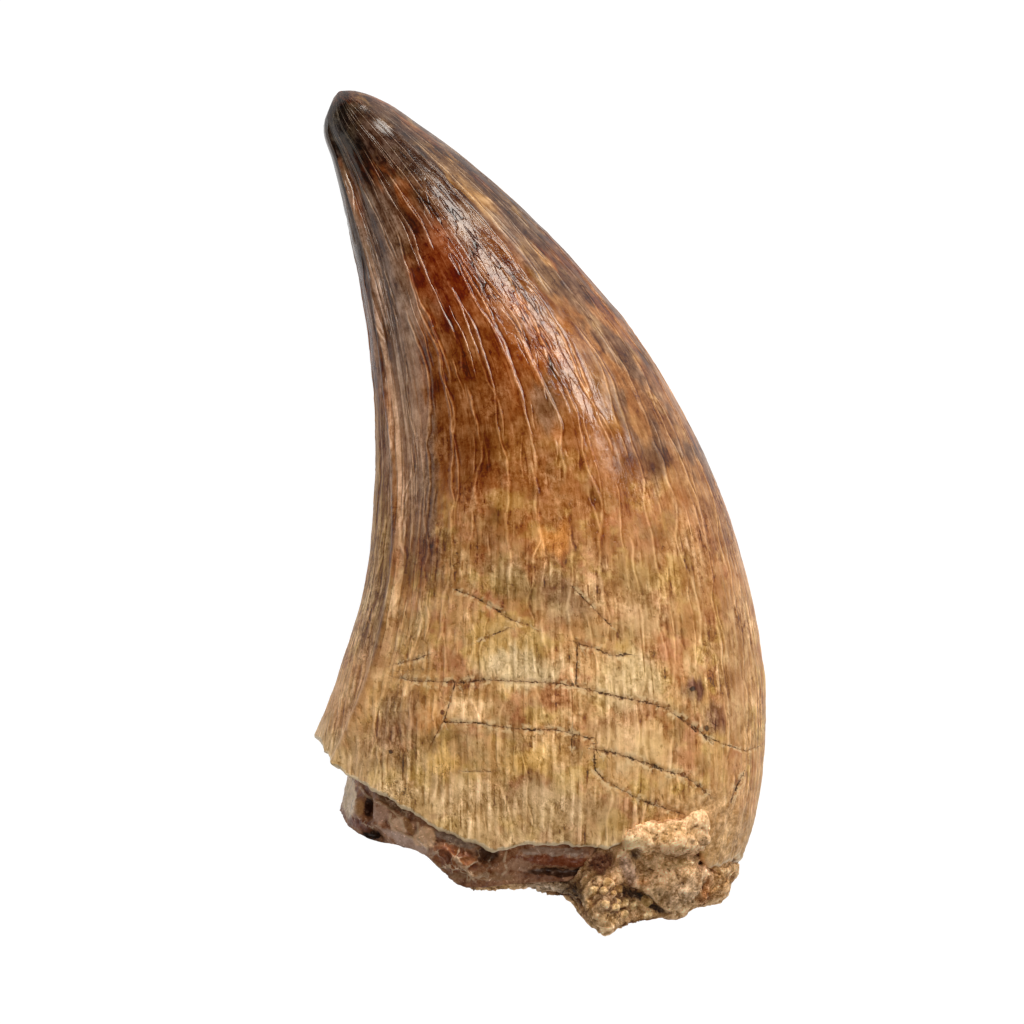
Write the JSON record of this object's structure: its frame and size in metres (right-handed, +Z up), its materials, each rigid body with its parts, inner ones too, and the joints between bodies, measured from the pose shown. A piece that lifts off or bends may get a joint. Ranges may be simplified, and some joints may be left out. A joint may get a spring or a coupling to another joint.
{
  "type": "fossil mosasaur tooth",
  "caption": "Curved, stout fossil reptile tooth lying on its side, with ribbed enamel, cutting edges, a worn tip and a broken base filled with sandy matrix.",
  "frame": {"origin": "bottom centre of the tooth as it lies on its back side", "axes": "+X to the outer, bulging side of the bend, +Y towards the tip, +Z up out of the side that shows"},
  "size_m": [0.0334, 0.0623, 0.0235],
  "materials": {
    "enamel": "polished by nature, striated, glossy towards the tip and more matte towards the base",
    "sediment": "rough, sandy, unpolished"
  },
  "bodies": {
    "root": {"tooth": "enamel", "matrix": "sediment"}
  },
  "joints": []
}
